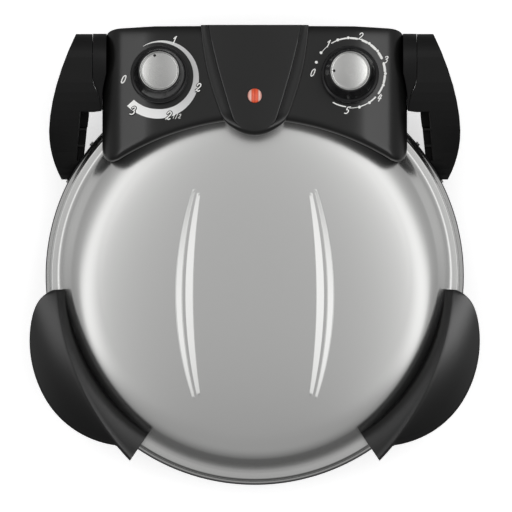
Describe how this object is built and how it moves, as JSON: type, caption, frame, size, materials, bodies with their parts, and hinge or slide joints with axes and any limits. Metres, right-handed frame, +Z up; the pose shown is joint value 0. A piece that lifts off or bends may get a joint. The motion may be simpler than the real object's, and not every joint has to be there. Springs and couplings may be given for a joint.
{
  "type": "electric pizza maker",
  "caption": "Round countertop pizza maker with a baking stone, a hinged domed lid, wing handles and a rear control housing with thermostat and timer knobs.",
  "frame": {"origin": "on the table, under the middle of the whole body's box", "axes": "+Z up, +Y towards the hinge and the control housing at the rear, +X to the right"},
  "size_m": [0.3894, 0.3978, 0.1717],
  "materials": {
    "base_paint": "satin black heat-proof paint",
    "bright_sheet": "bright aluminised sheet",
    "plain_sheet": "plain galvanised sheet",
    "stone": "matt fired clay",
    "heater_tube": "heat-darkened steel tube",
    "screws": "zinc-plated",
    "rubber": "matt",
    "ceramic": "unglazed",
    "black_plastic": "satin, fine moulded grain",
    "housing_plastic": "satin, fine moulded grain",
    "lid_metal": "satin silver",
    "mat": "mineral wool",
    "lamp_red": "clear red-orange",
    "white_plastic": "satin",
    "brass": "satin",
    "bell_metal": "polished",
    "knob_gloss": "glossy black",
    "cap_metal": "turned and polished"
  },
  "bodies": {
    "base": {"base_shell": "base_paint", "base_liner": "bright_sheet", "baking_stone": "stone", "lower_element": "heater_tube", "lower_clips": "bright_sheet", "bottom_cover": "plain_sheet", "cover_screws": "screws", "feet": "rubber", "terminal_block": "ceramic", "left_bracket": "black_plastic", "right_bracket": "black_plastic", "bracket_screws": "screws", "left_pin": "screws", "right_pin": "screws", "left_base_handle": "black_plastic", "right_base_handle": "black_plastic", "base_handle_screws": "screws"},
    "lid": {"lid_shell": "lid_metal", "lid_insulation": "mat", "lid_liner": "bright_sheet", "upper_element": "heater_tube", "upper_clips": "bright_sheet", "left_lid_handle": "black_plastic", "right_lid_handle": "black_plastic", "lid_handle_screws": "screws", "housing_cover": "housing_plastic", "housing_bottom": "black_plastic", "housing_screws": "screws", "centre_panel": "housing_plastic", "left_knuckle": "black_plastic", "right_knuckle": "black_plastic", "lamp_lens": "lamp_red", "lamp_body": "white_plastic", "thermostat": "ceramic", "timer": "brass", "timer_bell": "bell_metal", "control_nuts": "screws", "cord_gland": "rubber"},
    "thermostat_control": {"thermostat_knob": "knob_gloss", "thermostat_cap": "cap_metal", "thermostat_shaft": "screws"},
    "timer_control": {"timer_knob": "knob_gloss", "timer_cap": "cap_metal", "timer_shaft": "screws"}
  },
  "joints": [
    {"name": "lid_hinge", "type": "hinge", "parent": "base", "child": "lid", "pos_m": [0, 0.1707, 0.115], "axis": [-1, 0, 0], "range_deg": [0, 100]},
    {"name": "thermostat_turn", "type": "hinge", "parent": "lid", "child": "thermostat_control", "pos_m": [-0.082, 0.1547, 0.146], "axis": [0, 0.1564, 0.9877], "range_deg": [-234, 83]},
    {"name": "timer_turn", "type": "hinge", "parent": "lid", "child": "timer_control", "pos_m": [0.082, 0.1547, 0.146], "axis": [0, 0.1564, 0.9877], "range_deg": [-276, 0]}
  ]
}
